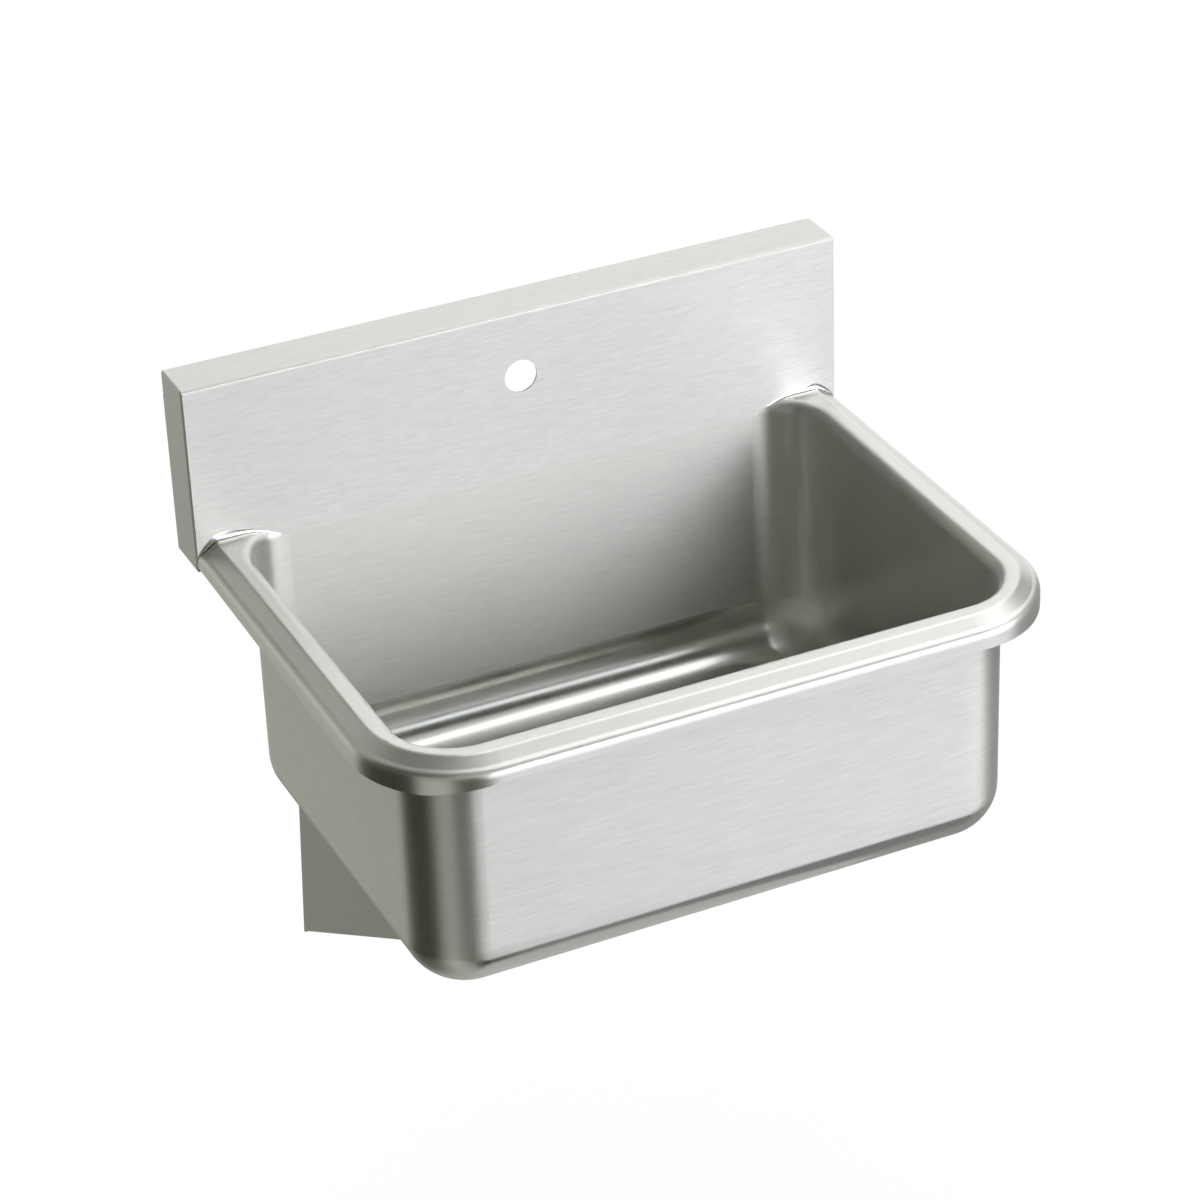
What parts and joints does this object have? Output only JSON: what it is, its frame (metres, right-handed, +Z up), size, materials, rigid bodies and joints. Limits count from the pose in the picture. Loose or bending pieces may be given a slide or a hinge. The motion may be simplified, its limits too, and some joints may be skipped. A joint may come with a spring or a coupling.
{
  "type": "wall-hung scrub sink",
  "caption": "Wall-hung stainless scrub sink with a deep coved bowl, a formed rim, a box backsplash with a faucet hole and triangular support brackets.",
  "frame": {"origin": "middle of the wall hanger's line of screw holes, on the wall plane", "axes": "+X to the right of a person at the sink, +Y into the wall, +Z up; the front faces -Y"},
  "size_m": [0.635, 0.4953, 0.6225],
  "materials": {
    "bowl_steel": "satin, fine level grain",
    "rim_steel": "polished bright along the rim",
    "weld_steel": "ground and polished weld",
    "splash_steel": "satin, fine level grain",
    "bracket_steel": "plain mill finish",
    "hanger_steel": "zinc coated",
    "fastener_steel": "plain",
    "strainer_steel": "polished",
    "gasket_rubber": "soft black",
    "ring_fibre": "pressed fibre",
    "locknut_metal": "die cast",
    "basket_steel": "polished",
    "stopper_rubber": "soft black",
    "tail_chrome": "chrome plated",
    "washer_plastic": "milky plastic"
  },
  "bodies": {
    "sink": {"basin": "bowl_steel", "rim": "rim_steel", "rim_weld_left": "weld_steel", "rim_weld_right": "weld_steel", "backsplash_panel": "splash_steel", "end_cap_left": "splash_steel", "end_cap_right": "splash_steel", "support_bracket_left": "bracket_steel", "support_bracket_right": "bracket_steel", "wall_hanger": "hanger_steel", "bracket_studs": "fastener_steel", "bracket_washers": "fastener_steel", "bracket_nuts": "fastener_steel", "strainer_body": "strainer_steel", "strainer_gasket": "gasket_rubber", "friction_ring": "ring_fibre", "strainer_locknut": "locknut_metal", "tailpiece": "tail_chrome", "tailpiece_washer": "washer_plastic", "tailpiece_nut": "tail_chrome"},
    "basket": {"strainer_basket": "basket_steel", "basket_post": "basket_steel", "basket_stopper": "stopper_rubber"}
  },
  "joints": [
    {"name": "basket_lift", "type": "slide", "parent": "sink", "child": "basket", "axis": [0, 0, 1], "range_m": [0, 0.32]}
  ]
}
